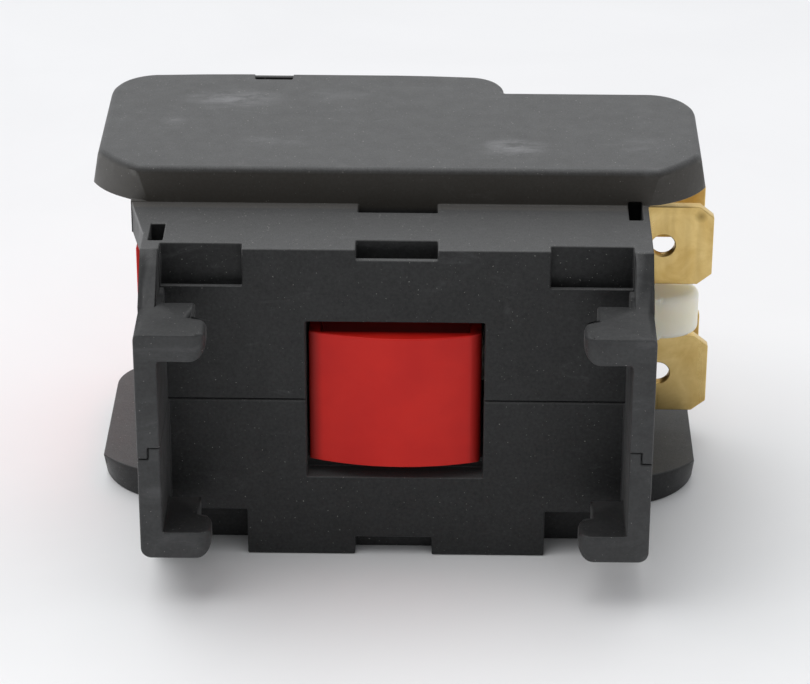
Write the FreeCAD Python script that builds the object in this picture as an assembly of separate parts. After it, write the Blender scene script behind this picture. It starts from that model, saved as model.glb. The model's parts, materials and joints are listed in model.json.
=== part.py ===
"""Panel-edge emergency stop module: two clamped half shells, a push pad, and two break contacts.

Working axes while modelling (millimetres): +X runs towards the terminals, +Y towards the operator,
+Z up from the parting plane of the two shells. Y = 0 is the rear wall that carries the snap arms.
Each part is moved at export, so that the frame's origin is the centre of the lower outer face.
"""
import FreeCAD, Part
import math
import os

V = FreeCAD.Vector

# Driving dimensions of the housing
BODY_HALF = 17.7        # half width of the body
BODY_TOP = 11.8         # upper outer face of the body, above the parting plane
BODY_BOTTOM = 12.6      # lower outer face, below the parting plane, flush with the lower flange
WALL = 1.4              # side walls, floor and roof
REAR_WALL = 1.6         # wall at Y = 0, which carries the window
PAD_BAY_END = 16.6      # inner wall that faces the push pad
CONTACT_BAY_END = 21.6  # outer wall behind the contacts
LIP = 0.85              # height of the outer lip at the parting plane
LIP_T = 0.75            # thickness of that lip
REVEAL = 0.14           # open line between the shells on the rear wall

# Flanges
FLANGE_FRONT = 7.5      # edge nearest the snap arms
FLANGE_BACK = 24.6      # edge over the push pad
FLANGE_STEP = 21.6      # edge over the contacts
FLANGE_TOP = 14.5       # upper outer face
FLANGE_HALF = 21.95     # greatest half width
FLANGE_DRAFT = 0.45     # how much the upper flange narrows at its outer face
LOWER_INNER = 10.15     # inner face of the lower flange, below the parting plane
CORNER_R = 3.4          # rear corners
STEP_X = 5.0            # where the step over the contacts begins
STEP_R = 2.6            # round of that step

# Rear window and the pad's tail
WINDOW_X = -0.1         # centre of the window
WINDOW_HALF_X = 6.28
WINDOW_HALF_Z = 6.2
TAIL_HALF_X = 6.08
TAIL_HALF_Z = 5.13
TAIL_CROWN = 18.0       # radius of the tail's crowned end
TAIL_APEX = -0.45       # Y of the crown, just proud of the rear wall

# Push pad
TRAVEL = 4.0            # push stroke towards -Y
PAD_HALF_Z = 8.75
PAD_LEFT = -18.85       # outer face of the pad's skirt
PAD_RIGHT = 5.2
SKIRT_FRONT = 8.2
PAD_EDGE = 21.0         # open edge of the pad's hollow head
PAD_INNER = 27.2        # inner face of the head
PAD_FACE = 28.8         # operator's face before its crown
PAD_CROWN = 0.6         # rise of the operator's face
PAD_WALL = 1.2

# Snap arms
ARM_Y = -7.2            # outer ends of the arms
ARM_T = 1.6             # thickness of an arm
HOOK_OUT = 8.77         # outer faces of the hooks, from the parting plane
HOOK_IN = 6.7           # inner faces of the hooks
TONGUE_TIP = 12.8       # how near the middle a hook reaches
NECK_TIP = 13.8
POST_T = 1.25           # sloping post between a hook and the body

# Quick-connect tabs and contacts
TAB_T = 0.8
TAB_Z = 5.31            # contacts, and centres of the near tabs, above or below the parting plane
TAB_HOLE_X = 19.38
TABS = {"near": {"y": 15.0, "inner": 12.5, "end": 23.05, "contact_x": 14.3,
                 "width": 6.3, "lift": 0.0, "hole_r": 0.88, "blunt": 0.85},
        "far": {"y": 19.4, "inner": 8.6, "end": 22.7, "contact_x": 10.0,
                "width": 4.8, "lift": 1.0, "hole_r": 0.7, "blunt": 0.7}}
RIVET_R = 1.1
RIVET_T = 0.5
TIP_GAP = 0.02          # closed contacts, drawn just clear of each other
BRIDGE_T = 0.6
BRIDGE_HALF_X = 1.1
BRIDGE_HALF_Z = 6.5
OVERTRAVEL = 0.6        # how far the carrier moves before it takes a bridge along

# Carrier, pin, screws and springs
CARRIER_HALF_Z = 1.5
TONGUE_HALF_Z = 1.7
TONGUE_Y = (12.9, 17.0)
TONGUE_END = 22.2
TONGUE_NOSE = 2.9       # length of the tongue's oval end
PIN_R = 0.8
PIN_AT = (4.4, 8.0)
PIN_HALF = 4.9
SCREWS = [(-12.2, 4.3), (14.2, 17.3)]
SCREW_R = 0.8
SCREW_HEAD_R = 1.5
SCREW_HEAD_T = 1.2
SPRING_WELL = {"x": -12.0, "z": 4.6, "r": 2.6, "floor": 10.2}
LATCH_Y = 8.0
LATCH_R = 0.45

ORIGIN = V(0, -FLANGE_BACK / 2, BODY_BOTTOM)


def box(x0, x1, y0, y1, z0, z1):
    """Box between two corners, given in any order."""
    low = V(min(x0, x1), min(y0, y1), min(z0, z1))
    return Part.makeBox(abs(x1 - x0), abs(y1 - y0), abs(z1 - z0), low)


def rod(radius, start, end):
    """Round rod between two points."""
    start = V(*start)
    along = V(*end) - start
    return Part.makeCylinder(radius, along.Length, start, along)


def prism(points, direction):
    """Closed polygon of 3-D points, pushed along a direction."""
    corners = [V(*p) for p in points]
    return Part.Face(Part.makePolygon(corners + corners[:1])).extrude(V(*direction))


def flip(shape):
    """Mirror image below the parting plane."""
    return shape.mirror(V(0, 0, 0), V(0, 0, 1))


def export(shape, node):
    """Move a part into the row's frame and write it."""
    shape.copy().removeSplitter().translated(ORIGIN).exportStep("parts/%s.step" % node)


# Flanges ------------------------------------------------------------------------------------

def flange_outline(z, half, chamfer_x, chamfer_y, bulge, back):
    """Outline with blunt front corners, round rear corners and the step over the contacts."""
    front = FLANGE_FRONT
    step_y = FLANGE_STEP + back
    back_y = FLANGE_BACK + back
    mid_x = half - chamfer_x / 2 + bulge
    mid_y = front + chamfer_y / 2 - bulge
    turn = CORNER_R * (1 - math.sqrt(0.5))
    step_turn = STEP_R * math.sqrt(0.5)

    def arc(a, b, c):
        return Part.Arc(V(*a, z), V(*b, z), V(*c, z)).toShape()

    def line(a, b):
        return Part.makeLine(V(*a, z), V(*b, z))

    front_l = (-half + chamfer_x, front)
    front_r = (half - chamfer_x, front)
    side_r = (half, front + chamfer_y)
    rear_r0 = (half, step_y - CORNER_R)
    rear_r1 = (half - CORNER_R, step_y)
    inner = (STEP_X + STEP_R, step_y)
    step_0 = (STEP_X + STEP_R, back_y - STEP_R)
    step_1 = (STEP_X, back_y)
    rear_l1 = (-half + CORNER_R, back_y)
    rear_l0 = (-half, back_y - CORNER_R)
    side_l = (-half, front + chamfer_y)
    return Part.Wire([
        line(front_l, front_r),
        arc(front_r, (mid_x, mid_y), side_r),
        line(side_r, rear_r0),
        arc(rear_r0, (half - turn, step_y - turn), rear_r1),
        line(rear_r1, inner),
        line(inner, step_0),
        arc(step_0, (STEP_X + step_turn, back_y - STEP_R + step_turn), step_1),
        line(step_1, rear_l1),
        arc(rear_l1, (-half + turn, back_y - turn), rear_l0),
        line(rear_l0, side_l),
        arc(side_l, (-mid_x, mid_y), front_l),
    ])


def upper_flange():
    """Flange above the body, a little narrower at its outer face."""
    inner = flange_outline(BODY_TOP, FLANGE_HALF, 4.2, 3.2, 0.45, 0.3)
    outer = flange_outline(FLANGE_TOP, FLANGE_HALF - FLANGE_DRAFT, 3.1, 3.1, 0.15, 0.0)
    plate = Part.makeLoft([inner, outer], True, True)
    slot = box(-11.05, -8.2, FLANGE_BACK - 0.75, FLANGE_BACK - 0.26, FLANGE_TOP - 1.4, FLANGE_TOP + 1)
    dip = box(-11.05, -8.2, FLANGE_BACK - 0.5, FLANGE_BACK + 1, FLANGE_TOP - 0.1, FLANGE_TOP + 1)
    return plate.cut([slot, dip])


def lower_flange():
    """Flange flush with the body's lower face."""
    inner = flange_outline(-LOWER_INNER, FLANGE_HALF + 0.1, 3.8, 2.4, 0.25, 0.0)
    outer = flange_outline(-BODY_BOTTOM, FLANGE_HALF + 0.1, 4.2, 4.4, 0.6, 0.0)
    return Part.makeLoft([outer, inner], True, True)


# Shells -------------------------------------------------------------------------------------

def body_half(z_far):
    """Solid block of one half, from the parting plane to z_far."""
    split = WINDOW_X + WINDOW_HALF_X + 0.1
    pad_bay = box(-BODY_HALF, split, 0, PAD_BAY_END, 0, z_far)
    contact_bay = box(split, BODY_HALF, 0, CONTACT_BAY_END, 0, z_far)
    return pad_bay.fuse(contact_bay)


def chambers(z_far):
    """Hollows of one half: spring bay, tail way and contact bay."""
    roof = z_far - math.copysign(WALL, z_far)
    inner = BODY_HALF - WALL
    left = WINDOW_X - WINDOW_HALF_X
    right = WINDOW_X + WINDOW_HALF_X
    tail_roof = math.copysign(TAIL_HALF_Z + 0.25, z_far)
    spring_bay = box(-inner, left - WALL, REAR_WALL, PAD_BAY_END - WALL, 0, roof)
    tail_way = box(left, right, REAR_WALL, PAD_BAY_END + 1, 0, tail_roof)
    contact_bay = box(right + WALL, inner, REAR_WALL, CONTACT_BAY_END - WALL, 0, roof)
    return [spring_bay, tail_way, contact_bay]


def blunt(x0, x1, y0, y1, z0, z1, rounds):
    """Box along Y with rounded corners, given as {(x, z): radius}."""
    block = box(x0, x1, y0, y1, z0, z1)
    for (x, z), radius in rounds.items():
        corner = [e for e in block.Edges
                  if abs(e.CenterOfMass.x - x) < 0.01 and abs(e.CenterOfMass.z - z) < 0.01]
        block = block.makeFillet(radius, corner)
    return block


def arm_half(side, outer_r, tip_out_r, tip_in_r):
    """Upper half of a snap arm, its sloping post and its inward hook, with three corner radii."""
    outer = side * BODY_HALF
    tip = side * TONGUE_TIP
    neck_tip = side * NECK_TIP
    plate = blunt(outer, outer - side * ARM_T, ARM_Y, 0.5, 0, HOOK_OUT, {(outer, HOOK_OUT): outer_r})
    reach = HOOK_OUT - BODY_TOP
    foot = HOOK_OUT - 1.0
    post_profile = [(outer, 0.5, BODY_TOP), (outer, 0, BODY_TOP), (outer, reach, HOOK_OUT),
                    (outer, reach, foot), (outer, 0.5, foot)]
    post = prism(post_profile, (-side * POST_T, 0, 0))
    rounds = {(outer, HOOK_OUT): outer_r, (tip, HOOK_OUT): tip_out_r, (tip, HOOK_IN): tip_in_r}
    tongue = blunt(outer, tip, ARM_Y, ARM_Y + 2.6, HOOK_IN, HOOK_OUT, rounds)
    plan = box(outer + side, tip, ARM_Y, ARM_Y + 2.6, HOOK_IN - 1, HOOK_OUT + 1)
    plan_corners = [e for e in plan.Edges if e.BoundBox.ZLength > 1
                    and abs(e.CenterOfMass.x - tip) < 0.01]
    tongue = tongue.common(plan.makeFillet(0.9, plan_corners))
    neck_rounds = {(outer, HOOK_OUT): outer_r, (neck_tip, HOOK_OUT): tip_out_r / 2,
                   (neck_tip, HOOK_IN): tip_in_r / 2}
    neck = blunt(outer, neck_tip, ARM_Y + 2.5, -2.2, HOOK_IN, HOOK_OUT, neck_rounds)
    return plate.fuse([post, tongue, neck])


def side_lip(side, clearance):
    """Outer lip of the upper shell, which laps over the lower one."""
    outer = side * BODY_HALF
    end = PAD_BAY_END if side < 0 else CONTACT_BAY_END
    inner = outer - side * (LIP_T + clearance)
    return box(outer, inner, ARM_Y, end, -LIP - clearance, 0)


def corner_pockets(z_far, depth, sill):
    """Recesses beside the arms for the clip-in block's latches."""
    return [box(x0, x1, -1, depth, sill, z_far) for x0, x1 in ((-16.4, -10.7), (10.65, 16.4))]


def spring_well():
    """Upper well for a return spring: block and hole, open towards the pad."""
    x, z, r = SPRING_WELL["x"], SPRING_WELL["z"], SPRING_WELL["r"]
    floor = SPRING_WELL["floor"]
    block = box(x - r - 1, x + r + 1, floor - 1, PAD_BAY_END - 0.5, z - r - 0.9, BODY_TOP - 0.5)
    hole = rod(r, (x, floor, z), (x, PAD_BAY_END + 1, z))
    return block, hole


def latch_anchor():
    """Boss on the side wall that grips one end of the latch spring."""
    inner = -BODY_HALF + WALL
    block = box(inner - 0.2, inner + 2.6, LATCH_Y - 1.2, LATCH_Y + 1.2, 4.0, 6.4)
    hole = rod(LATCH_R + 0.03, (inner, LATCH_Y, 5.2), (inner + 3, LATCH_Y, 5.2))
    return block, hole


def tab_edges(tab, level):
    """Lower and upper edge of a tab."""
    middle = level * TAB_Z + tab["lift"]
    return middle - tab["width"] / 2, middle + tab["width"] / 2


def tab_slots(level):
    """Slots in the side wall for the tabs of one half."""
    inner = BODY_HALF - WALL - 0.1
    play = 0.04
    slots = []
    for tab in TABS.values():
        z0, z1 = tab_edges(tab, level)
        slots.append(box(inner, BODY_HALF + 1, tab["y"] - TAB_T / 2 - play,
                         tab["y"] + TAB_T / 2 + play, z0 - play, z1 + play))
    return slots


def carrier_ways():
    """Openings on the parting plane for the carrier's tongue and for its lug."""
    right = WINDOW_X + WINDOW_HALF_X
    tongue_way = box(BODY_HALF - WALL - 0.1, BODY_HALF + 1, TONGUE_Y[0] - TRAVEL - 0.3,
                     TONGUE_Y[1] + 0.3, -TONGUE_HALF_Z - 0.2, TONGUE_HALF_Z + 0.2)
    lug_way = box(right - 0.1, right + WALL + 0.1, REAR_WALL, 10.4,
                  -CARRIER_HALF_Z - 0.25, CARRIER_HALF_Z + 0.25)
    return [tongue_way, lug_way]


def latch_way():
    """Slot through which the latch spring reaches the tail."""
    left = WINDOW_X - WINDOW_HALF_X
    return box(left - WALL - 0.1, left + 0.9, LATCH_Y - 0.9, LATCH_Y + 0.9, -5.9, 5.9)


def window():
    """Rear window, cut through both shells."""
    return box(WINDOW_X - WINDOW_HALF_X, WINDOW_X + WINDOW_HALF_X, -1, REAR_WALL + 0.01,
               -WINDOW_HALF_Z, WINDOW_HALF_Z)


def snap_finger(side, clearance):
    """Finger of the lower shell that stands in a slot of the upper shell's side wall."""
    y0, y1 = (1.45, 3.9) if side < 0 else (5.35, 8.7)
    outer = side * (BODY_HALF - 0.55 + clearance)
    inner = side * (BODY_HALF - WALL - 0.05)
    top = BODY_TOP + 0.3 if clearance else BODY_TOP - 2.5
    low = -LIP - 0.1 if clearance else -2.0
    return box(outer, inner, y0 - clearance, y1 + clearance, low, top)


def screw_boss(z_far):
    """Round bosses for the assembly screws in one half."""
    return [rod(1.6 if x > 0 else 2.2, (x, y, 0), (x, y, z_far * 0.97)) for x, y in SCREWS]


def upper_shell():
    """Upper shell with its flange, rims, arm halves, wells and slots."""
    shell = body_half(BODY_TOP).cut(Part.makeCompound(chambers(BODY_TOP)))
    rim_z = PAD_HALF_Z + 0.65
    left_rim = box(-BODY_HALF - 1.3, -BODY_HALF + 0.2, FLANGE_FRONT, FLANGE_BACK - 0.4, rim_z,
                   BODY_TOP + 0.1)
    gusset = prism([(-BODY_HALF + 0.2, 1.7, rim_z), (-BODY_HALF - 1.25, FLANGE_FRONT + 0.1, rim_z),
                    (-BODY_HALF + 0.2, FLANGE_FRONT + 0.1, rim_z)], (0, 0, BODY_TOP - rim_z))
    back_rim = box(-BODY_HALF - 1.3, STEP_X, FLANGE_BACK - 1.7, FLANGE_BACK - 0.4, rim_z,
                   BODY_TOP + 0.1)
    notch_back = box(-4, 4, REAR_WALL - 0.1, 3.0, 9.0, BODY_TOP - 0.1)
    well_block, well_hole = spring_well()
    anchor_block, anchor_hole = latch_anchor()
    shell = shell.fuse([upper_flange(), left_rim, gusset, back_rim, notch_back, well_block, anchor_block,
                        side_lip(-1, 0), side_lip(1, 0)]
                       + [arm_half(side, 0.5, 0.35, 1.2) for side in (-1, 1)]
                       + screw_boss(BODY_TOP))
    pilots = [rod(SCREW_R - 0.02, (x, y, -1), (x, y, 7.5)) for x, y in SCREWS]
    grooves = [box(x0, x1, 0.4, 0.9, 7.9, 9.4) for x0, x1 in ((-16.4, -10.7), (10.65, 16.4))]
    front_notch = [box(-2.85, 2.85, -1, 0.5, 11.0, 12), box(-2.85, 2.85, 0.45, 1.6, 9.8, 12)]
    foot_slot = box(-2.85, 2.8, 6.15, FLANGE_FRONT, 10.8, BODY_TOP + 0.01)
    reveal = box(-BODY_HALF, BODY_HALF, -0.01, 0.5, -0.01, REVEAL)
    fingers = [snap_finger(-1, 0.1), snap_finger(1, 0.1)]
    cuts = ([well_hole, anchor_hole, foot_slot, reveal, window(), latch_way()] + pilots + grooves
            + front_notch + fingers + tab_slots(1) + carrier_ways()
            + corner_pockets(BODY_TOP + 1, 0.9, 8.93))
    return shell.cut(cuts)


def lower_shell():
    """Lower shell, flush with its flange, with the screw heads' recesses."""
    shell = body_half(-BODY_BOTTOM).cut(Part.makeCompound(chambers(-BODY_BOTTOM)))
    rim_z = -PAD_HALF_Z - 0.45
    left_rim = box(-BODY_HALF - 1.3, -BODY_HALF + 0.2, FLANGE_FRONT, FLANGE_BACK - 0.4, rim_z,
                   -LOWER_INNER - 0.1)
    back_rim = box(-BODY_HALF - 1.3, STEP_X, FLANGE_BACK - 1.7, FLANGE_BACK - 0.4, rim_z,
                   -LOWER_INNER - 0.1)
    pocket_blocks = [box(x0, x1, REAR_WALL - 0.1, 3.4, -8.0, -BODY_BOTTOM + 0.1)
                     for x0, x1 in ((-17, -9.8), (9.75, 17))]
    well_block, well_hole = [flip(s) for s in spring_well()]
    anchor_block, anchor_hole = [flip(s) for s in latch_anchor()]
    arms = [flip(arm_half(side, 0.75, 1.1, 0.3)) for side in (-1, 1)]
    shell = shell.fuse([lower_flange(), left_rim, back_rim, well_block, anchor_block]
                       + arms + pocket_blocks + screw_boss(-BODY_BOTTOM))
    shanks = [rod(SCREW_R + 0.05, (x, y, -BODY_BOTTOM - 1), (x, y, 1)) for x, y in SCREWS]
    heads = [rod(SCREW_HEAD_R + 0.1, (x, y, -BODY_BOTTOM - 1), (x, y, SCREW_HEAD_T - BODY_BOTTOM))
             for x, y in SCREWS]
    notch = box(-2.95, 2.55, -1, 1.2, -11.15, -BODY_BOTTOM - 1)
    lips = [side_lip(-1, 0.04), side_lip(1, 0.04)]
    cuts = ([well_hole, anchor_hole, notch, window(), latch_way()] + shanks + heads + lips
            + tab_slots(-1) + carrier_ways()
            + corner_pockets(-BODY_BOTTOM - 1, 2.4, -8.93))
    shell = shell.cut(cuts)
    return shell.fuse([snap_finger(-1, 0), snap_finger(1, 0)])


# Moving parts -------------------------------------------------------------------------------

def pad_head():
    """Hollow head of the push pad, with a crowned face and rounded corners."""
    middle = (PAD_RIGHT + PAD_LEFT) / 2
    half = (PAD_RIGHT - PAD_LEFT) / 2
    crown_r = (half ** 2 + PAD_CROWN ** 2) / (2 * PAD_CROWN)
    crown_y = PAD_FACE + PAD_CROWN - crown_r
    block = box(PAD_LEFT, PAD_RIGHT, PAD_EDGE, PAD_FACE + PAD_CROWN, -PAD_HALF_Z, PAD_HALF_Z)
    crown = rod(crown_r, (middle, crown_y, -PAD_HALF_Z), (middle, crown_y, PAD_HALF_Z))
    block = block.common(crown)
    rounded = [e for e in block.Edges if e.BoundBox.YMin > PAD_EDGE + 1
               or (e.BoundBox.YLength > 5 and e.BoundBox.XLength < 0.01)]
    block = block.makeFillet(0.9, rounded)
    hollow = box(PAD_LEFT + PAD_WALL, PAD_RIGHT - PAD_WALL, PAD_EDGE - 1, PAD_INNER,
                 PAD_WALL - PAD_HALF_Z, PAD_HALF_Z - PAD_WALL)
    return block.cut(hollow)


def stop_button():
    """Push pad: hollow head, side skirt outside the body, and the tail behind the window."""
    skirt = box(PAD_LEFT, PAD_LEFT + 1.0, SKIRT_FRONT, PAD_EDGE + 1,
                0.9 - PAD_HALF_Z, PAD_HALF_Z - 0.9)
    tail_left = WINDOW_X - TAIL_HALF_X
    tail_right = WINDOW_X + TAIL_HALF_X
    tail = box(tail_left, tail_right, TAIL_APEX, PAD_INNER + 0.5, -TAIL_HALF_Z, TAIL_HALF_Z)
    apex_x = 0.3
    round_end = rod(TAIL_CROWN, (apex_x, TAIL_APEX + TAIL_CROWN, -TAIL_HALF_Z),
                    (apex_x, TAIL_APEX + TAIL_CROWN, TAIL_HALF_Z))
    straight = box(tail_left, tail_right, 6, PAD_INNER + 0.5, -TAIL_HALF_Z, TAIL_HALF_Z)
    tail = tail.common(round_end.fuse(straight))
    tail_step = box(PAD_RIGHT, tail_right + 1, PAD_EDGE - 2, PAD_FACE + 1, -TAIL_HALF_Z, TAIL_HALF_Z)
    pegs = [rod(1.2, (SPRING_WELL["x"], PAD_EDGE, s * SPRING_WELL["z"]),
                (SPRING_WELL["x"], PAD_INNER + 0.5, s * SPRING_WELL["z"])) for s in (-1, 1)]
    cores = [box(tail_left + 0.9, tail_right - 0.9, 0.75, 5.0, s * 1.2, s * (TAIL_HALF_Z + 1))
             for s in (-1, 1)]
    pad = pad_head().fuse([skirt, tail.cut([tail_step] + cores)] + pegs)
    lug_slot = box(2.2, tail_right + 1, 5.8, 10.2, -CARRIER_HALF_Z - 0.2, CARRIER_HALF_Z + 0.2)
    pin_hole = rod(PIN_R, (PIN_AT[0], PIN_AT[1], -PIN_HALF), (PIN_AT[0], PIN_AT[1], 6))
    notches = [rod(LATCH_R + 0.08, (tail_left, LATCH_Y + shift, -6), (tail_left, LATCH_Y + shift, 6))
               for shift in (0, TRAVEL)]
    return pad.cut([lug_slot, pin_hole] + notches)


def drive_pin():
    """Steel pin that ties the carrier's lug to the tail."""
    return rod(PIN_R, (PIN_AT[0], PIN_AT[1], -PIN_HALF), (PIN_AT[0], PIN_AT[1], PIN_HALF))


def bridge_rest(tab):
    """Y of a bridge's face towards its tab, contacts closed."""
    return tab["y"] - TAB_T / 2 - 2 * RIVET_T - TIP_GAP


def contact_carrier():
    """Nylon slide: lug, plate with a window for each bridge, and the tongue outside."""
    inner = WINDOW_X + WINDOW_HALF_X + WALL + 0.3
    half = CARRIER_HALF_Z
    far_strip = box(inner, 12.2, 6.0, 19.5, -half, half)
    near_strip = box(inner, 16.0, 8.4, 15.4, -half, half)
    lug = box(2.6, inner + 0.2, 6.0, 10.0, -half, half)
    y0, y1 = TONGUE_Y
    tongue = box(15.0, TONGUE_END - TONGUE_NOSE, y0, y1, -TONGUE_HALF_Z, TONGUE_HALF_Z)
    tongue = tongue.cut(box(14.9, 15.95, y0 + 2.5, y1 + 1, -3, 3))
    nose = Part.Ellipse(V(TONGUE_END, (y0 + y1) / 2, -TONGUE_HALF_Z),
                        V(TONGUE_END - TONGUE_NOSE, y1, -TONGUE_HALF_Z),
                        V(TONGUE_END - TONGUE_NOSE, (y0 + y1) / 2, -TONGUE_HALF_Z))
    tip = Part.Face(Part.Wire(nose.toShape())).extrude(V(0, 0, 2 * TONGUE_HALF_Z))
    tip = tip.makeFillet(0.5, [e for e in tip.Edges if e.BoundBox.ZLength < 0.01])
    plate = far_strip.fuse([near_strip, lug, tongue, tip])
    cuts = [rod(PIN_R + 0.04, (PIN_AT[0], PIN_AT[1], -3), (PIN_AT[0], PIN_AT[1], 3))]
    for tab in TABS.values():
        face = bridge_rest(tab)
        middle = tab["contact_x"]
        reach = BRIDGE_HALF_X + 0.2
        cuts.append(box(middle - reach, middle + reach, face - BRIDGE_T - 3.2, face + OVERTRAVEL,
                        -3, 3))
    return plate.cut(cuts)


def terminal(tab, level):
    """Brass quick-connect tab with blunted corners and a detent hole."""
    y = tab["y"] - TAB_T / 2
    z0, z1 = tab_edges(tab, level)
    inner, end, drop = tab["inner"], tab["end"], tab["blunt"]
    slope_x = end - drop - 0.2
    outline = [(inner, y, z0), (slope_x, y, z0), (end, y, z0 + drop), (end, y, z1 - drop),
               (slope_x, y, z1), (inner, y, z1)]
    blade = prism(outline, (0, TAB_T, 0))
    hole_z = (z0 + z1) / 2
    hole = rod(tab["hole_r"], (TAB_HOLE_X, y - 1, hole_z), (TAB_HOLE_X, y + 2, hole_z))
    return blade.cut(hole)


def fixed_contact(tab, level):
    """Silver rivet head on the tab's face."""
    y = tab["y"] - TAB_T / 2
    x, z = tab["contact_x"], level * TAB_Z
    return rod(RIVET_R, (x, y - RIVET_T, z), (x, y, z))


def contact_bridge(tab):
    """Bronze bar that joins an upper tab to the lower one."""
    face = bridge_rest(tab)
    x = tab["contact_x"]
    return box(x - BRIDGE_HALF_X, x + BRIDGE_HALF_X, face - BRIDGE_T, face,
               -BRIDGE_HALF_Z, BRIDGE_HALF_Z)


def moving_contacts(tab):
    """Two silver tips on a bridge, as one group."""
    face = bridge_rest(tab)
    x = tab["contact_x"]
    tips = [rod(RIVET_R, (x, face, s * TAB_Z), (x, face + RIVET_T, s * TAB_Z)) for s in (-1, 1)]
    return Part.makeCompound(tips)


def coil_spring(x, z, y0, y1, radius, wire, turns):
    """Compression spring along Y between two planes."""
    length = y1 - y0 - wire
    helix = Part.makeHelix(length / turns, length, radius)
    start = V(radius, 0, 0)
    section = Part.Wire(Part.makeCircle(wire / 2, start, V(0, 1, 0)))
    coil = Part.Wire(helix).makePipeShell([section], True, True)
    coil.rotate(V(0, 0, 0), V(1, 0, 0), -90)
    coil.translate(V(x, y0 + wire / 2, z))
    return coil


def latch_spring():
    """Wire staple: its middle leg rests in a notch of the tail."""
    leg_x = WINDOW_X - TAIL_HALF_X - 0.02
    end_x = -BODY_HALF + WALL + 0.4
    leg = rod(LATCH_R, (leg_x, LATCH_Y, -5.2), (leg_x, LATCH_Y, 5.2))
    arms = [rod(LATCH_R, (leg_x, LATCH_Y, z), (end_x, LATCH_Y, z)) for z in (-5.2, 5.2)]
    elbows = [Part.makeSphere(LATCH_R, V(leg_x, LATCH_Y, z)) for z in (-5.2, 5.2)]
    return leg.fuse(arms + elbows)


def assembly_screws():
    """Two self-tapping screws from below, as one group."""
    group = []
    for x, y in SCREWS:
        head = rod(SCREW_HEAD_R, (x, y, 0.3 - BODY_BOTTOM), (x, y, SCREW_HEAD_T - BODY_BOTTOM))
        shank = rod(SCREW_R - 0.02, (x, y, SCREW_HEAD_T - BODY_BOTTOM), (x, y, 7.0))
        socket = [box(x - 1.0, x + 1.0, y - 0.2, y + 0.2, -BODY_BOTTOM, 0.8 - BODY_BOTTOM),
                  box(x - 0.2, x + 0.2, y - 1.0, y + 1.0, -BODY_BOTTOM, 0.8 - BODY_BOTTOM)]
        group.append(head.fuse(shank).cut(socket))
    return Part.makeCompound(group)


def build():
    """Every node of the module, by name."""
    nodes = {
        "upper_housing": upper_shell(),
        "lower_housing": lower_shell(),
        "stop_button": stop_button(),
        "drive_pin": drive_pin(),
        "contact_carrier": contact_carrier(),
        "latch_spring": latch_spring(),
        "assembly_screws": assembly_screws(),
    }
    for reach, tab in TABS.items():
        for height, level in (("upper", 1), ("lower", -1)):
            nodes["terminal_%s_%s" % (height, reach)] = terminal(tab, level)
            nodes["fixed_contact_%s_%s" % (height, reach)] = fixed_contact(tab, level)
        nodes["contact_bridge_" + reach] = contact_bridge(tab)
        nodes["moving_contacts_" + reach] = moving_contacts(tab)
        spring_end = bridge_rest(tab) - BRIDGE_T
        nodes["contact_spring_" + reach] = coil_spring(tab["contact_x"], 0, spring_end - 3.2,
                                                       spring_end, 0.9, 0.3, 4)
    for name, side in (("upper", 1), ("lower", -1)):
        nodes["return_spring_" + name] = coil_spring(SPRING_WELL["x"], side * SPRING_WELL["z"],
                                                     SPRING_WELL["floor"], PAD_INNER, 1.85, 0.5, 7)
    return nodes


os.makedirs("parts", exist_ok=True)
for node, shape in build().items():
    export(shape, node)
    size = shape.BoundBox
    print("%-24s solids %d valid %s volume %.1f  %.1f x %.1f x %.1f"
          % (node, len(shape.Solids), shape.isValid(), shape.Volume,
             size.XLength, size.YLength, size.ZLength))
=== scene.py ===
# %% [markdown]
# # Emergency stop module, seen from its wiring side
# The real thing is a small moulded switch: two black half shells, a red push pad whose tail shows
# in a window, four brass tabs and a milky nylon slide between them. The measured CAD parts are
# loaded first and stay where they are. Everything after that is about edges, surfaces and light.

# %% Load the measured frame
import bmesh
import bpy
import json
import math
from mathutils import Matrix, Vector
from mathutils.geometry import delaunay_2d_cdt
from mathutils.kdtree import KDTree

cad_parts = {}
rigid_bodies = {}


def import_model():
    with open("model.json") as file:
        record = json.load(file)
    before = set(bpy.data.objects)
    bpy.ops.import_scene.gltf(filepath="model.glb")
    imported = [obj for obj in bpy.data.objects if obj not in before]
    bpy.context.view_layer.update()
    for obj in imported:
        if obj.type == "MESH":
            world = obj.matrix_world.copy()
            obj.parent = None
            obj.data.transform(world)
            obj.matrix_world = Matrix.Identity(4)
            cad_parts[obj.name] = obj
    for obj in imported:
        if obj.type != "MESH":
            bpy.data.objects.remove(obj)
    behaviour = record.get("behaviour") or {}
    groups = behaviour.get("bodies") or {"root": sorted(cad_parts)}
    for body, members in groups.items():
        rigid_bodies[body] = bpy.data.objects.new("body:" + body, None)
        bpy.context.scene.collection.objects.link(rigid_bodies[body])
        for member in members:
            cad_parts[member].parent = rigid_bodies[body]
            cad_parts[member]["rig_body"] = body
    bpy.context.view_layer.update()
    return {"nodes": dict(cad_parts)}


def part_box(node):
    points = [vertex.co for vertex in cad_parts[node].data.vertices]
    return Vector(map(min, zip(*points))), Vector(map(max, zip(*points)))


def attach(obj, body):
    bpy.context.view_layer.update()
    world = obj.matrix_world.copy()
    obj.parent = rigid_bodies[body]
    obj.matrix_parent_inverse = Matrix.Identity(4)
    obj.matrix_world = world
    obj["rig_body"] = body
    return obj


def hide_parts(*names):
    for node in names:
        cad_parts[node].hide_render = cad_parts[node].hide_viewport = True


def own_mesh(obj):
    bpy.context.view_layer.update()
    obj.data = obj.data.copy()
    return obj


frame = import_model()
MM = 0.001

# %% [markdown]
# ## Working positions
# The parts come in the frame's own place, with the origin in the middle of the lower outer face.
# The maker of the shells measures heights from the parting plane and depths from the rear wall
# instead, so two small helpers turn those readings into frame positions.

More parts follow.
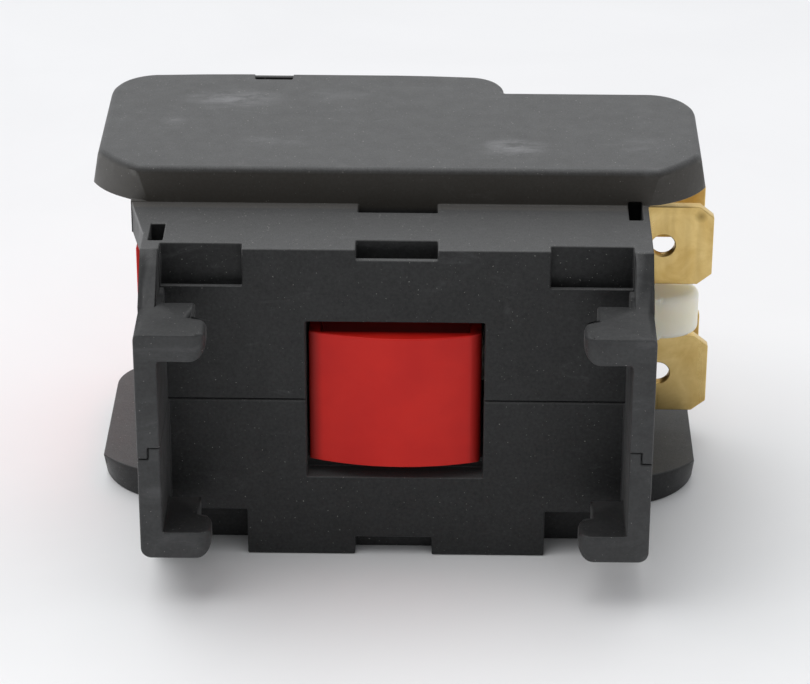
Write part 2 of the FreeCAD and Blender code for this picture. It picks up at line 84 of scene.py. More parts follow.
# %% Parting plane, rear wall and a helper for places on the part
lower_low, lower_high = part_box("lower_housing")
upper_low, upper_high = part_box("upper_housing")
PARTING = 12.6 * MM
REAR_WALL = -12.3 * MM


def at(x, y, z):
    """Place given in mm from the middle, the rear wall and the parting plane."""
    return Vector((x * MM, REAR_WALL + y * MM, PARTING + z * MM))


print("height over both flanges, mm:", round((upper_high.z - lower_low.z) / MM, 2))

# %% [markdown]
# ## Small helpers for node materials
# Every finish is grown from a few noise fields, so it keeps its grain from any side. These helpers
# only save typing: they add a node, a noise field or a contrast curve, blend two colours, or pick
# out a zone of the part by its place or by the way it faces.

# %% Node helpers
class Finish:
    """A material under construction, in object space, with coordinates in metres."""

    def __init__(self, name):
        self.material = bpy.data.materials.new(name)
        self.material.use_nodes = True
        self.tree = self.material.node_tree
        self.shader = self.tree.nodes["Principled BSDF"]
        self.place = self.add("ShaderNodeTexCoord").outputs["Object"]

    def add(self, kind, **values):
        node = self.tree.nodes.new(kind)
        for key, value in values.items():
            setattr(node, key, value)
        return node

    def link(self, a, b):
        self.tree.links.new(a, b)

    def set(self, **values):
        for key, value in values.items():
            self.shader.inputs[key.replace("_", " ")].default_value = value

    def noise(self, size_mm, detail=3.0, rough=0.5, stretch=(1, 1, 1), warp=0.0):
        """Noise whose blobs are about size_mm across."""
        scaled = self.add("ShaderNodeMapping")
        scaled.inputs["Scale"].default_value = stretch
        self.link(self.place, scaled.inputs["Vector"])
        node = self.add("ShaderNodeTexNoise")
        node.inputs["Scale"].default_value = 1 / (size_mm * MM)
        node.inputs["Detail"].default_value = detail
        node.inputs["Roughness"].default_value = rough
        node.inputs["Distortion"].default_value = warp
        self.link(scaled.outputs[0], node.inputs["Vector"])
        return node.outputs["Fac"]

    def ramp(self, value, stops):
        """Contrast curve from (position, grey or colour) stops."""
        node = self.add("ShaderNodeValToRGB")
        elements = node.color_ramp.elements
        while len(elements) < len(stops):
            elements.new(0.5)
        for element, (position, shade) in zip(elements, stops):
            element.position = position
            element.color = (*shade, 1) if isinstance(shade, tuple) else (shade, shade, shade, 1)
        self.link(value, node.inputs[0])
        return node.outputs["Color"]

    def mix(self, factor, a, b):
        """Blend of two colours or sockets; the factor is a number or a socket."""
        node = self.add("ShaderNodeMix", data_type="RGBA")
        for socket, value in ((node.inputs[0], factor), (node.inputs[6], a), (node.inputs[7], b)):
            if isinstance(value, bpy.types.NodeSocket):
                self.link(value, socket)
            else:
                socket.default_value = (*value, 1) if isinstance(value, tuple) else value
        return node.outputs[2]

    def math(self, how, a, b):
        node = self.add("ShaderNodeMath", operation=how)
        for socket, value in zip(node.inputs, (a, b)):
            if isinstance(value, bpy.types.NodeSocket):
                self.link(value, socket)
            else:
                socket.default_value = value
        return node.outputs[0]

    def bump(self, height, distance_mm, strength=1.0, under=None):
        node = self.add("ShaderNodeBump")
        node.inputs["Strength"].default_value = strength
        node.inputs["Distance"].default_value = distance_mm * MM
        self.link(height, node.inputs["Height"])
        if under is not None:
            self.link(under, node.inputs["Normal"])
        return node.outputs["Normal"]

    def axis(self, letter):
        """One coordinate of the place, in metres."""
        parts = self.add("ShaderNodeSeparateXYZ")
        self.link(self.place, parts.inputs[0])
        return parts.outputs[letter]

    def within(self, letter, low_mm, high_mm, soft_mm=0.5):
        """1 between two heights along an axis, fading over soft_mm."""
        here = self.axis(letter)
        rise = self.add("ShaderNodeMapRange", interpolation_type="SMOOTHSTEP")
        fall = self.add("ShaderNodeMapRange", interpolation_type="SMOOTHSTEP")
        for node, edge, sign in ((rise, low_mm, 1), (fall, high_mm, -1)):
            self.link(here, node.inputs["Value"])
            node.inputs["From Min"].default_value = (edge - sign * soft_mm / 2) * MM
            node.inputs["From Max"].default_value = (edge + sign * soft_mm / 2) * MM
        return self.math("MULTIPLY", rise.outputs[0], fall.outputs[0])

    def facing(self, letter, sign):
        """How far the surface faces one way along an axis, from 0 to 1."""
        normal = self.add("ShaderNodeSeparateXYZ")
        self.link(self.tree.nodes["Texture Coordinate"].outputs["Normal"], normal.inputs[0])
        return self.math("MAXIMUM", self.math("MULTIPLY", normal.outputs[letter], sign), 0.0)

    def patch(self, x, y, z, wide_mm, deep_mm, high_mm):
        """1 in the middle of a soft ellipsoid round a place on the part, 0 outside."""
        middle = at(x, y, z)
        shift = self.add("ShaderNodeVectorMath", operation="SUBTRACT")
        self.link(self.place, shift.inputs[0])
        shift.inputs[1].default_value = middle
        squeeze = self.add("ShaderNodeVectorMath", operation="DIVIDE")
        self.link(shift.outputs[0], squeeze.inputs[0])
        squeeze.inputs[1].default_value = (wide_mm * MM, deep_mm * MM, high_mm * MM)
        length = self.add("ShaderNodeVectorMath", operation="LENGTH")
        self.link(squeeze.outputs[0], length.inputs[0])
        return self.ramp(length.outputs["Value"], [(0.0, 1.0), (1.0, 0.0)])

    def wear(self, colour, rough, normal=None):
        self.link(colour, self.shader.inputs["Base Color"])
        self.link(rough, self.shader.inputs["Roughness"])
        if normal is not None:
            self.link(normal, self.shader.inputs["Normal"])


print("helpers ready")

# %% [markdown]
# ## Black glass-filled nylon
# The shells are moulded in black nylon with short glass fibres. It is never quite black: the skin
# has a soft grey sheen, a fine mottled grain and pale dust caught in the grain. Several noise
# fields, with blobs from a few hundredths of a millimetre to several millimetres, give each scale
# its own detail. The base colour stays dark, because a lighter one alone looks like grey paint.

# %% The skin's colour, mottle and dust in the grain
def moulded_tint(finish, base, smears, dust, cloud):
    clouds = finish.noise(5.5, 4.0, 0.6, warp=0.4)
    darker, lighter = (tuple(share * c for c in base) for share in (0.86, 1.18))
    tint = finish.ramp(clouds, [(0.34, darker), (0.66, lighter)])
    mottle = finish.ramp(finish.noise(0.24, 3.0, 0.7), [(0.3, 0.0), (0.7, 1.0)])
    tint = finish.mix(mottle, finish.mix(0.32, tint, (0.004, 0.004, 0.004)),
                      finish.mix(0.035, tint, (0.30, 0.30, 0.30)))
    tint = finish.mix(finish.ramp(smears, [(0.60, 0.0), (0.78, cloud)]), tint, (0.30, 0.30, 0.31))
    speck = finish.ramp(finish.noise(0.16, 1.0, 0.5), [(0.735, 0.0), (0.79, dust)])
    return finish.mix(speck, tint, (0.52, 0.51, 0.48))


# %% [markdown]
# ## Use, handling and painted light
# A used switch is scuffed and dusty on the faces that look up. Those faces are also lightened as
# painted light from above, and the arms' front faces are paler partly from rubbing and partly as
# painted light. Each mark is a zone of the part with a soft border, picked out by its place and by
# the way it faces, so it stays put in any view. Noise breaks up the scuffs, the dust and the arms.
# The front of the rim has its own slightly brown tone and is lightened there as painted light, and
# its left chamfer, which faces the soft box, is paler as painted light; these two have no noise.
# All of this is painted into the colour, not produced by the lamps.

# %% Scuffs, dust, and painted light on upward faces, rim front, chamfer and arms
FLANGE_LEVEL = 14.5     # mm above the parting plane
RIM_HEIGHTS = (24.0, 26.8)   # mm in the frame: height, then depth for the next three
RIM_FRONT = (-5.6, -1.5)
ARMS = (-22.0, -13.2)
BODY = (-13.2, 18.0)
SCUFFS = (  # x, y, half width, half depth in mm, and strength
    (-12.3, 19.9, 4.6, 2.0, 0.36), (-9.0, 12.2, 3.6, 1.3, 0.16), (8.0, 11.5, 3.2, 1.8, 0.42),
    (-4.8, 20.6, 3.0, 1.5, 0.14), (-16.5, 15.8, 1.2, 1.0, 0.2), (17.5, 12.0, 2.4, 2.0, 0.12))


print("scuffed places:", len(SCUFFS))


def scuffed(finish, tint):
    streaks = finish.ramp(finish.noise(1.0, 5.0, 0.72, stretch=(0.5, 1.3, 1.0), warp=0.6),
                          [(0.36, 0.0), (0.66, 1.0)])
    for x, y, wide, deep, strength in SCUFFS:
        spot = finish.patch(x, y, FLANGE_LEVEL, wide, deep, 0.8)
        scuff = finish.math("MULTIPLY", finish.math("MULTIPLY", spot, streaks), strength)
        tint = finish.mix(scuff, tint, (0.36, 0.36, 0.375))
    return tint


def wear_and_painted_light(finish, tint, grain, smears):
    rim = finish.within("Z", *RIM_HEIGHTS)
    # The rim's front: its own slightly brown tone, lightened as painted light.
    brown_and_lit_front = finish.math("MULTIPLY", finish.within("Y", *RIM_FRONT), rim)
    tint = finish.mix(finish.math("MULTIPLY", brown_and_lit_front, 0.30), tint, (0.105, 0.090, 0.070))
    # Dust in the grain on upward faces, also lighter there as painted light from above.
    dust_and_top_light = finish.math("MULTIPLY", finish.within("Y", *BODY), finish.facing("Z", 1.0))
    in_grain = finish.ramp(grain, [(0.3, 0.065), (0.7, 0.145)])
    tint = finish.mix(finish.math("MULTIPLY", dust_and_top_light, in_grain), tint, (0.50, 0.50, 0.50))
    # Painted light: the rim's left-facing chamfer, turned to the soft box, is paler.
    lit_chamfer = finish.math("MULTIPLY", rim, finish.facing("X", -1.0))
    tint = finish.mix(finish.math("MULTIPLY", lit_chamfer, 0.14), tint, (0.45, 0.45, 0.45))
    # Arms' front faces paler: partly rubbing, partly painted light on the parts that stand out.
    arms = finish.math("MULTIPLY", finish.within("Y", *ARMS), finish.facing("Y", -1.0))
    rubbed_and_lit = finish.math("MULTIPLY", arms, finish.ramp(smears, [(0.3, 0.06), (0.7, 0.13)]))
    return finish.mix(rubbed_and_lit, tint, (0.27, 0.275, 0.28))


# %% [markdown]
# ## Skin and edge
# The shells take the same finish twice: dark for the skin, and paler and glossier for the rolled
# edges. The paler colour is a painted highlight for the thin light line along the real one's edges.
# Two bumps of different size give it relief.

# %% The shells' two materials
def black_nylon(name, base, rough_middle, dust, cloud):
    finish = Finish(name)
    grain = finish.noise(0.09, 4.0, 0.62)
    fine = finish.noise(0.035, 2.0, 0.6)
    smears = finish.noise(2.2, 5.0, 0.66, stretch=(0.45, 1.4, 1.0), warp=1.2)
    tint = scuffed(finish, moulded_tint(finish, base, smears, dust, cloud))
    tint = wear_and_painted_light(finish, tint, grain, smears)
    rough = finish.ramp(finish.noise(1.3, 4.0, 0.6),
                        [(0.3, rough_middle - 0.05), (0.7, rough_middle + 0.06)])
    normal = finish.bump(fine, 0.008, 0.3, finish.bump(grain, 0.02, 0.35))
    finish.wear(tint, rough, normal)
    finish.set(Specular_IOR_Level=0.27, IOR=1.53, Sheen_Weight=0.08, Sheen_Roughness=0.4)
    return finish.material


NYLON_BLACK = (0.0155, 0.016, 0.0165)
# Painted highlight: a paler copy of the skin colour for the rolled edges.
NYLON_EDGE_HIGHLIGHT = (0.075, 0.0755, 0.078)
shell_black = black_nylon("black_nylon_skin", NYLON_BLACK, 0.50, 0.35, 0.09)
edge_highlight_black = black_nylon("black_nylon_painted_edge_highlight", NYLON_EDGE_HIGHLIGHT, 0.36, 0.5, 0.35)
print("materials:", shell_black.name, edge_highlight_black.name)

# %% [markdown]
# ## Red acetal
# The push pad is satin red with a very fine eggshell grain, and a little light goes into it. The
# two upright sides of its tail lie in shade in the window. Their rolled edges give only part of
# that, so the rest of that shade is painted there by place, as a darker tint.

# %% The pad's material
WINDOW_MIDDLE = -0.1  # mm
TAIL_LIT = 5.55       # mm, half width of the tail that stays bright
TAIL_END = (-14.0, -10.9)   # mm in depth, in front of the rear wall and behind it


def red_acetal():
    finish = Finish("red_satin_acetal")
    clouds = finish.noise(4.0, 3.0, 0.5)
    tint = finish.ramp(clouds, [(0.35, (0.60, 0.013, 0.009)), (0.65, (0.67, 0.018, 0.011))])
    # Painted shade: the tail's two upright sides, where the window's walls keep the light off, are
    # darkened.
    tail = finish.within("Y", *TAIL_END)
    middle = finish.within("X", WINDOW_MIDDLE - TAIL_LIT, WINDOW_MIDDLE + TAIL_LIT, 1.1)
    shaded_sides = finish.math("MULTIPLY", tail, finish.math("SUBTRACT", 1.0, middle))
    tint = finish.mix(finish.math("MULTIPLY", shaded_sides, 0.85), tint, (0.10, 0.004, 0.003))
    rough = finish.ramp(finish.noise(0.9, 3.0, 0.5), [(0.3, 0.38), (0.7, 0.46)])
    normal = finish.bump(finish.noise(0.06, 3.0, 0.6), 0.006, 0.3)
    finish.wear(tint, rough, normal)
    finish.set(IOR=1.48, Specular_IOR_Level=0.25, Subsurface_Weight=0.08, Subsurface_Scale=0.0006)
    finish.shader.inputs["Subsurface Radius"].default_value = (1.0, 0.12, 0.08)
    return finish.material


red = red_acetal()
print("material:", red.name)

# %% [markdown]
# ## Milky nylon and the metals
# The slide is natural nylon, milky and lit from within, which is what subsurface scattering is for.
# The tabs are rolled brass with soft bands across the strip. Springs and screws are drawn or plated
# steel. One recipe serves all the metals: one noise field stains the colour, and a finer one, drawn
# out into lines on the brass and bronze, varies the gloss and the relief.

# %% The slide's and the metals' materials
def milky_nylon():
    finish = Finish("milky_natural_nylon")
    tint = finish.ramp(finish.noise(2.0, 3.0, 0.5),
                       [(0.3, (0.90, 0.83, 0.68)), (0.7, (0.94, 0.88, 0.74))])
    rough = finish.ramp(finish.noise(0.6, 3.0, 0.5), [(0.3, 0.30), (0.7, 0.40)])
    normal = finish.bump(finish.noise(0.12, 3.0, 0.6), 0.005, 0.3)
    finish.wear(tint, rough, normal)
    finish.set(IOR=1.53, Subsurface_Weight=0.8, Subsurface_Scale=0.003)
    finish.shader.inputs["Subsurface Radius"].default_value = (1.0, 0.85, 0.62)
    return finish.material


def metal(name, dark, light, rough_low, rough_high, lines=(1, 1, 1), line_mm=0.05,
          bump_mm=0.002, spots=()):
    finish = Finish(name)
    stain = finish.noise(2.4, 5.0, 0.62, warp=0.6)
    streak = finish.noise(line_mm, 3.0, 0.6, stretch=lines)
    tint = finish.ramp(stain, [(0.32, dark), (0.68, light)])
    tint = finish.mix(finish.math("MULTIPLY", streak, 0.25), tint, light)
    for x, y, z, wide in spots:
        spot = finish.math("MULTIPLY", finish.patch(x, y, z, wide, wide, wide), 0.8)
        tint = finish.mix(spot, tint, tuple(0.45 * c for c in dark))
    rough = finish.ramp(streak, [(0.3, rough_low), (0.7, rough_high)])
    finish.wear(tint, rough, finish.bump(streak, bump_mm, 0.5))
    finish.set(Metallic=1.0)
    return finish.material


TAB_STAIN = (22.1, 14.6, 7.7, 0.55)  # place and half width, mm
milky = milky_nylon()
brass = metal("rolled_brass", (0.60, 0.40, 0.13), (0.80, 0.60, 0.26), 0.26, 0.40,
              lines=(1, 1, 0.05), line_mm=0.6, bump_mm=0.001, spots=(TAB_STAIN,))
bronze = metal("bronze_strip", (0.52, 0.31, 0.16), (0.70, 0.44, 0.24), 0.25, 0.40,
               lines=(1, 1, 0.1))
silver = metal("silver_rivet", (0.62, 0.61, 0.58), (0.82, 0.81, 0.78), 0.22, 0.36)
spring = metal("drawn_spring_wire", (0.38, 0.39, 0.41), (0.58, 0.59, 0.62), 0.24, 0.36)
zinc = metal("zinc_plated_steel", (0.50, 0.51, 0.53), (0.70, 0.71, 0.72), 0.26, 0.42)
print("materials:", [m.name for m in (milky, brass, bronze, silver, spring, zinc)])

# %% [markdown]
# ## Easing the edges
# A mould is never perfectly sharp, and on black plastic the thin bright lines along the edges are
# what let us read the shape. Each shown part is therefore a copy of its measured mesh, cleaned so
# that flat faces are whole, with a small rolled edge added and its normals kept flat. The rolled
# faces take the piece's second material; on the shells that is a paler copy of the skin, a painted
# highlight for those bright lines.

# %% Copy a part with whole flat faces
def clean_copy(node, whole_faces=True):
    """Shown copy of a CAD node, with whole flat faces ready for its edges to be rolled."""
    source = frame["nodes"][node]
    piece = bpy.data.objects.new(node + "_shown", source.data.copy())
    bpy.context.scene.collection.objects.link(piece)
    piece.data.materials.clear()
    edit = bmesh.new()
    edit.from_mesh(piece.data)
    bmesh.ops.remove_doubles(edit, verts=edit.verts, dist=0.004 * MM)
    bmesh.ops.dissolve_degenerate(edit, edges=edit.edges, dist=0.004 * MM)
    if whole_faces:
        bmesh.ops.dissolve_limit(edit, angle_limit=math.radians(0.6), verts=edit.verts,
                                 edges=edit.edges, use_dissolve_boundaries=False)
    edit.to_mesh(piece.data)
    edit.free()
    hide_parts(node)
    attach(piece, source["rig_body"])
    return piece


# %% [markdown]
# ## How large a roll may be
# Two sharp edges that run side by side share the strip between them. If both ask for more than
# fits, their rolls cross and the face folds over itself. So each takes a share of the gap, in
# proportion to what it asked for.

# %% The radius for each sharp edge
def tree_of(points):
    """Lookup of the nearest of many points."""
    tree = KDTree(len(points))
    for index, point in enumerate(points):
        tree.insert(point, index)
    tree.balance()
    return tree


def along(edge, step_mm=0.12):
    """Points along an edge."""
    a, b = (v.co for v in edge.verts)
    steps = max(2, int((b - a).length / (step_mm * MM)))
    return [a.lerp(b, i / steps) for i in range(steps + 1)]


def rolls(edit, width_mm, widths, sharp_deg, outer_only):
    """{edge: radius in mm} for the sharp edges; where two run close together both get less."""
    asked = {}
    for edge in edit.edges:
        if outer_only and not edge.is_convex:
            continue
        if len(edge.link_faces) == 2 and edge.calc_face_angle(0) > math.radians(sharp_deg):
            radius = widths(*(v.co for v in edge.verts)) if widths else None
            asked[edge] = radius or width_mm
    points, owners = [], []
    for edge in asked:
        for point in along(edge):
            points.append(point)
            owners.append(edge)
    near = tree_of(points)
    wanted = dict(asked)
    for edge, radius in wanted.items():
        a, b = (v.co for v in edge.verts)
        line = (b - a).normalized()
        for point in along(edge, 0.4):
            for other, index, gap in near.find_range(point, 2.5 * radius * MM):
                rival = owners[index]
                if rival is edge or gap < 1e-7 or set(rival.verts) & set(edge.verts):
                    continue
                c, d = (v.co for v in rival.verts)
                side_on = abs((other - point).normalized().dot(line)) < 0.35
                if side_on and abs((d - c).normalized().dot(line)) > 0.8:
                    share = 0.84 * radius / (radius + wanted[rival])
                    asked[edge] = min(asked[edge], share * gap / MM)
    return {edge: max(radius, 0.012) for edge, radius in asked.items()}


# %% [markdown]
# ## Corners and faces that go wrong
# Where several edges meet at odd angles, the Bevel modifier can send a corner far off along a face.
# Such corners are found and left sharp. Faces that still cross themselves are filled again.
#
# Four of the shown meshes aren't watertight: both shells, the pad and the slide have edges that
# belong to only one face. Filling again is the likeliest cause, because only those four needed it.
# It isn't repaired here.

# %% Find runaway corners, and fill crossed faces again
def stray_corners(piece, near_edge, corners, limit_mm):
    """Corners whose roll ran off: found from shown vertices that lie far from every old edge."""
    shown = piece.evaluated_get(bpy.context.evaluated_depsgraph_get()).to_mesh()
    off = {v.index for v in shown.vertices if near_edge.find(v.co)[2] > limit_mm * MM}
    found = set()
    for edge in shown.edges:
        a, b = edge.vertices
        if (a in off) != (b in off):
            kept = shown.vertices[b if a in off else a]
            found.update(index for _, index, _ in corners.find_range(kept.co, 0.3 * MM))
            found.add(corners.find(kept.co)[1])
    piece.to_mesh_clear()
    return found


def refill(mesh):
    """Fills again, in its own plane, every face whose outline the rolls have made cross itself."""
    mesh.calc_loop_triangles()
    filled = {}
    for triangle in mesh.loop_triangles:
        filled[triangle.polygon_index] = filled.get(triangle.polygon_index, 0) + triangle.area
    edit = bmesh.new()
    edit.from_mesh(mesh)
    edit.faces.ensure_lookup_table()
    broken = []
    for face in edit.faces:
        start = face.verts[0].co
        total = Vector()
        for a, b in zip(face.verts[1:-1], face.verts[2:]):
            total += (a.co - start).cross(b.co - start) / 2
        if filled[face.index] > 1.004 * total.length + 1e-9:
            broken.append((face, total.normalized()))
    for face, normal in broken:
        turn = normal.to_track_quat("Z", "Y").to_matrix().inverted()
        flat = [turn @ v.co for v in face.verts]
        height = sum(p.z for p in flat) / len(flat)
        outline = [p.xy for p in flat]
        spots, _, triangles, from_verts, _, _ = delaunay_2d_cdt(
            outline, [], [list(range(len(outline)))], 1, 1e-8)
        old = list(face.verts)
        material = face.material_index
        edit.faces.remove(face)
        back = turn.inverted()
        made = [old[origin[0]] if origin else edit.verts.new(back @ Vector((*spot, height)))
                for spot, origin in zip(spots, from_verts)]
        for corners in triangles:
            ring = [made[i] for i in corners]
            if len(set(ring)) == 3 and edit.faces.get(ring) is None:
                edit.faces.new(ring).material_index = material
    loose = [e for e in edit.edges if not e.link_faces]
    bmesh.ops.delete(edit, geom=loose, context="EDGES")
    edit.to_mesh(mesh)
    edit.free()
    return len(broken)


# %% [markdown]
# ## Rolling the edges
# The Bevel modifier rolls many edges at once, each by its own weight, so one pass can give soft
# rims and crisp corners. The result is then fixed as a mesh, so that crossed faces can be mended,
# and a weighted normal keeps the flat faces flat.

# %% Roll a piece's edges
def roll_edges(piece, width_mm, widths=None, outer_only=False, segments=3, sharp_deg=32.0,
               tries=16):
    """Rolls every sharp edge; widths(a, b) may ask for another radius in mm between two ends.

    A corner whose roll would run far off along a face is left sharp, and the rest is tried again.
    """
    edit = bmesh.new()
    edit.from_mesh(piece.data)
    weights = edit.edges.layers.float.new("bevel_weight_edge")
    asked = rolls(edit, width_mm, widths, sharp_deg, outer_only)
    largest = max(asked.values())
    for edge, radius in asked.items():
        edge[weights] = radius / largest
    roll = piece.modifiers.new("rolled_edges", "BEVEL")
    roll.limit_method = "WEIGHT"
    roll.width = largest * MM
    roll.segments = segments
    roll.use_clamp_overlap = False
    roll.miter_outer = "MITER_ARC"
    roll.material = 1
    near_edge = tree_of([point for edge in edit.edges for point in along(edge)])
    corners = tree_of([v.co for v in edit.verts])
    edit.verts.ensure_lookup_table()
    left_sharp = set()
    for _ in range(tries):
        edit.to_mesh(piece.data)
        bpy.context.view_layer.update()
        stray = stray_corners(piece, near_edge, corners, 1.5 * largest + 0.08) - left_sharp
        if not stray:
            break
        left_sharp |= stray
        for index in stray:
            for edge in edit.verts[index].link_edges:
                edge[weights] = 0.0
    edit.free()
    rolled = bpy.data.meshes.new_from_object(
        piece.evaluated_get(bpy.context.evaluated_depsgraph_get()))
    piece.modifiers.clear()
    piece.data = rolled
    mended = refill(rolled)
    rolled.shade_smooth()
    flat = piece.modifiers.new("flat_faces", "WEIGHTED_NORMAL")
    flat.weight = 90
    flat.keep_sharp = True
    print("%-26s rolled %4d edges, left %d corners sharp, mended %d faces"
          % (piece.name, len(asked), len(left_sharp), mended))


# %% [markdown]
# ## The two shells
# The upper flange's rim is the softest edge of the moulding, the arms are a little softer than the
# body, and the parting line is a small groove. A function of an edge's two ends tells them apart.

# %% The two shells
SHELL_ROLL, RIM_ROLL, PARTING_ROLL, ARM_ROLL = 0.11, 0.42, 0.17, 0.16   # mm


def shell_roll(a, b):
    """Rim of the upper flange, edges along the parting line, and the arms have larger rolls."""
    if min(a.y, b.y) > REAR_WALL + 7.4 * MM and min(a.z, b.z) > upper_high.z - 0.02 * MM:
        return RIM_ROLL
    on_wall = max(abs(a.y - REAR_WALL), abs(b.y - REAR_WALL)) < 0.05 * MM
    if on_wall and max(abs(a.z - PARTING), abs(b.z - PARTING)) < 0.25 * MM:
        return PARTING_ROLL
    return ARM_ROLL if max(a.y, b.y) < REAR_WALL - 1.0 * MM else None


upper = clean_copy("upper_housing")
lower = clean_copy("lower_housing")
roll_edges(upper, SHELL_ROLL, shell_roll)
roll_edges(lower, SHELL_ROLL, shell_roll)
# The second slot holds the paler copy of the skin, a painted highlight on the rolled edges.
for shell in (upper, lower):
    shell.data.materials.append(shell_black)
    shell.data.materials.append(edge_highlight_black)

# %% [markdown]
# ## The pad, the slide and the metal parts
# These go through the same steps, with smaller rolls on the thinner parts. Only outer edges are
# rolled, because a roll in an inner corner adds material just where pieces slide on each other. The
# formed wires are already round, so they keep their measured mesh.

# %% The pad, the slide and the metals
TAIL_ROLL = 0.75   # mm


def tail_roll(a, b):
    """The tail's upright sides turn in with a larger roll."""
    upright = abs(a.z - b.z) > 4 * MM and max(a.y, b.y) < REAR_WALL + 0.75 * MM
    return TAIL_ROLL if upright else None


finishes = {  # node: material, slot, and roll in mm or None for a wire
    "stop_button": (red, "red_plastic", 0.12),
    "contact_carrier": (milky, "milky_nylon", 0.12),
    "drive_pin": (zinc, "zinc_steel", 0.06),
    "assembly_screws": (zinc, "zinc_steel", 0.06),
    "latch_spring": (spring, "spring_steel", None),
    "contact_bridge_near": (bronze, "bronze", 0.05),
    "contact_bridge_far": (bronze, "bronze", 0.05),
}
for name in frame["nodes"]:
    if name.startswith("terminal_"):
        finishes[name] = (brass, "brass", 0.07)
    elif name.startswith(("fixed_contact_", "moving_contacts_")):
        finishes[name] = (silver, "silver_contact", 0.08)
    elif name.startswith("contact_spring_"):
        finishes[name] = (spring, "spring_steel", None)
for name, (material, slot, width) in sorted(finishes.items()):
    if width is None:
        piece = frame["nodes"][name]
        piece.data.materials.clear()
    else:
        piece = clean_copy(name)
        roll_edges(piece, width, tail_roll if name == "stop_button" else None, outer_only=True)
        piece.data.materials.append(material)
    piece.data.materials.append(material)

# %% [markdown]
# ## Return springs
# The pad moves 4 mm in, and a rigid spring would come out through its face. Here the two return
# springs are smooth-shaded copies of their measured meshes, each with a mesh of its own; nothing
# here makes them shorten.

# %% Return springs
for name in ("return_spring_upper", "return_spring_lower"):
    coil = clean_copy(name, whole_faces=False)
    coil.data.materials.append(spring)
    coil.data.shade_smooth()
    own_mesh(coil)

# %% [markdown]
# ## Floor
# The module stands on a plain pale table, nearly matt, with faint cloudy marks. Its tint is painted
# a little darker towards the back, where the broad light would make it too bright.

# %% Floor
TABLE_HALF = 1.2          # m
TABLE_GAP = 0.02 * MM     # keeps the table just clear of the part's lower face
TINT_NEAR = -60 * MM      # the tint goes from its lightest here to its darkest at the next
TINT_FAR = 120 * MM


def floor_material():
    finish = Finish("pale_table")
    marks = finish.noise(34.0, 4.0, 0.55, warp=0.8)
    depth = finish.add("ShaderNodeMapRange")
    finish.link(finish.axis("Y"), depth.inputs["Value"])
    depth.inputs["From Min"].default_value = TINT_NEAR
    depth.inputs["From Max"].default_value = TINT_FAR
    tint = finish.mix(depth.outputs[0], (0.86, 0.86, 0.865), (0.74, 0.74, 0.75))
    tint = finish.mix(finish.ramp(marks, [(0.3, 0.06), (0.7, 0.0)]), tint, (0.30, 0.30, 0.31))
    rough = finish.ramp(finish.noise(8.0, 3.0, 0.5), [(0.3, 0.75), (0.7, 0.85)])
    finish.wear(tint, rough)
    finish.set(Specular_IOR_Level=0.08)
    return finish.material


mesh = bpy.data.meshes.new("table_top")
edit = bmesh.new()
bmesh.ops.create_grid(edit, x_segments=8, y_segments=8, size=TABLE_HALF)
edit.to_mesh(mesh)
edit.free()
table = bpy.data.objects.new("table_top", mesh)
table.location = (0, 0, lower_low.z - TABLE_GAP)
mesh.materials.append(floor_material())
bpy.context.scene.collection.objects.link(table)
print("table width, m:", round(2 * max(v.co.x for v in mesh.vertices), 2))

# %% [markdown]
# ## Light
# One broad soft box hangs high up, to the left and a little behind, so that the upper faces turn
# grey and the shadows stay soft. The room is brighter behind and above than in front. Upper faces
# seen at a low angle mirror that bright part, and the wall that faces us stays dark.

# %% Light
ROOM_BRIGHT = (-0.10, 0.80, 0.59)   # direction of the brightest part of the room
ROOM_LOW, ROOM_HIGH = 0.25, 1.05    # strength of its light away from there, and there


def soft_box(name, where, look, size, watts):
    lamp = bpy.data.lights.new(name, "AREA")
    lamp.shape = "RECTANGLE"
    lamp.size, lamp.size_y = size
    lamp.energy = watts
    rig = bpy.data.objects.new(name, lamp)
    rig.location = where
    rig.rotation_euler = (Vector(look) - Vector(where)).to_track_quat("-Z", "Y").to_euler()
    bpy.context.scene.collection.objects.link(rig)


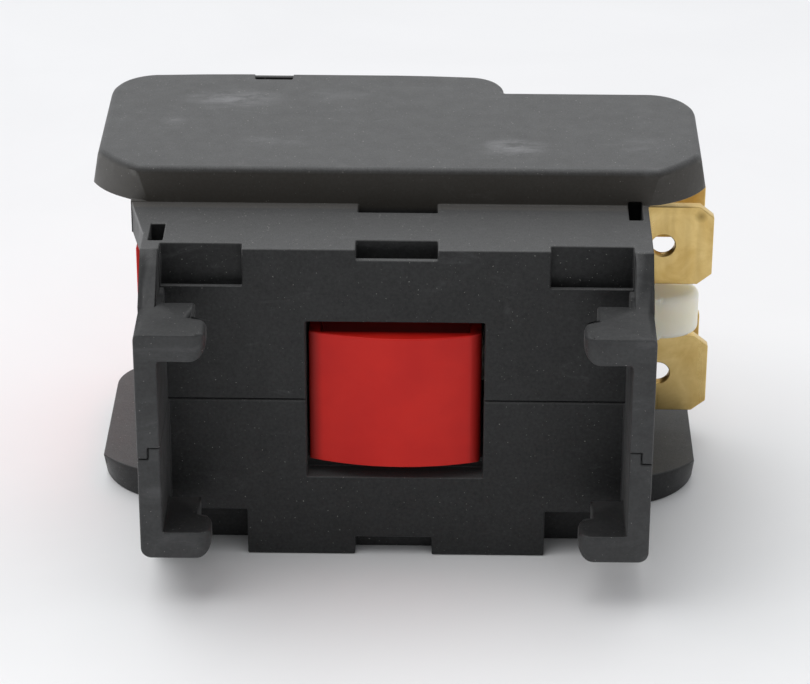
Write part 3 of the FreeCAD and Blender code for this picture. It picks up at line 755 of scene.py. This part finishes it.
middle = (0, 0, 0.013)
soft_box("top_box", (-0.56, 0.20, 1.70), middle, (2.2, 1.8), 21.5)
world = bpy.data.worlds.new("pale_room")
bpy.context.scene.world = world
world.use_nodes = True
room = world.node_tree
ray = room.nodes.new("ShaderNodeTexCoord")
towards = room.nodes.new("ShaderNodeVectorMath")
towards.operation = "DOT_PRODUCT"
towards.inputs[1].default_value = ROOM_BRIGHT
room.links.new(ray.outputs["Generated"], towards.inputs[0])
level = room.nodes.new("ShaderNodeMapRange")
level.inputs["From Min"].default_value = -0.7
level.inputs["From Max"].default_value = 1.0
level.inputs["To Min"].default_value = ROOM_LOW
level.inputs["To Max"].default_value = ROOM_HIGH
room.links.new(towards.outputs["Value"], level.inputs["Value"])
room.nodes["Background"].inputs["Color"].default_value = (0.97, 0.985, 1.0, 1)
room.links.new(level.outputs[0], room.nodes["Background"].inputs["Strength"])
bpy.context.scene.view_settings.view_transform = "Standard"
print("light: one soft box, and a room brighter behind than in front")

# %% [markdown]
# ## Camera
# The camera looks down at the rear wall from about 225 mm away, through a long lens. Its position
# is worked out from three angles, the distance, and a point on the rear wall that it aims at.

# %% Camera
ELEVATION = math.radians(27.494)
YAW = math.radians(-0.806)
ROLL = math.radians(0.182)
DISTANCE = 225.511 * MM
LENS = 143.598   # mm, on a sensor 36 mm wide
aim = at(0.592, 0, 4.708)
forward = Vector((math.sin(YAW) * math.cos(ELEVATION), math.cos(YAW) * math.cos(ELEVATION),
                  -math.sin(ELEVATION)))
sideways = Vector((math.cos(YAW), -math.sin(YAW), 0))
upward = sideways.cross(forward)
right = math.cos(ROLL) * sideways + math.sin(ROLL) * upward
up = -math.sin(ROLL) * sideways + math.cos(ROLL) * upward
camera_data = bpy.data.cameras.new("camera")
camera_data.sensor_width = 36
camera_data.lens = LENS
camera_data.clip_start = 0.01
camera_data.clip_end = 10
camera = bpy.data.objects.new("camera", camera_data)
turn = Matrix((right, up, -forward)).transposed()
camera.matrix_world = Matrix.Translation(aim - DISTANCE * forward) @ turn.to_4x4()
bpy.context.scene.collection.objects.link(camera)
bpy.context.scene.camera = camera
print("camera at, mm:", [round(c / MM, 2) for c in camera.location])
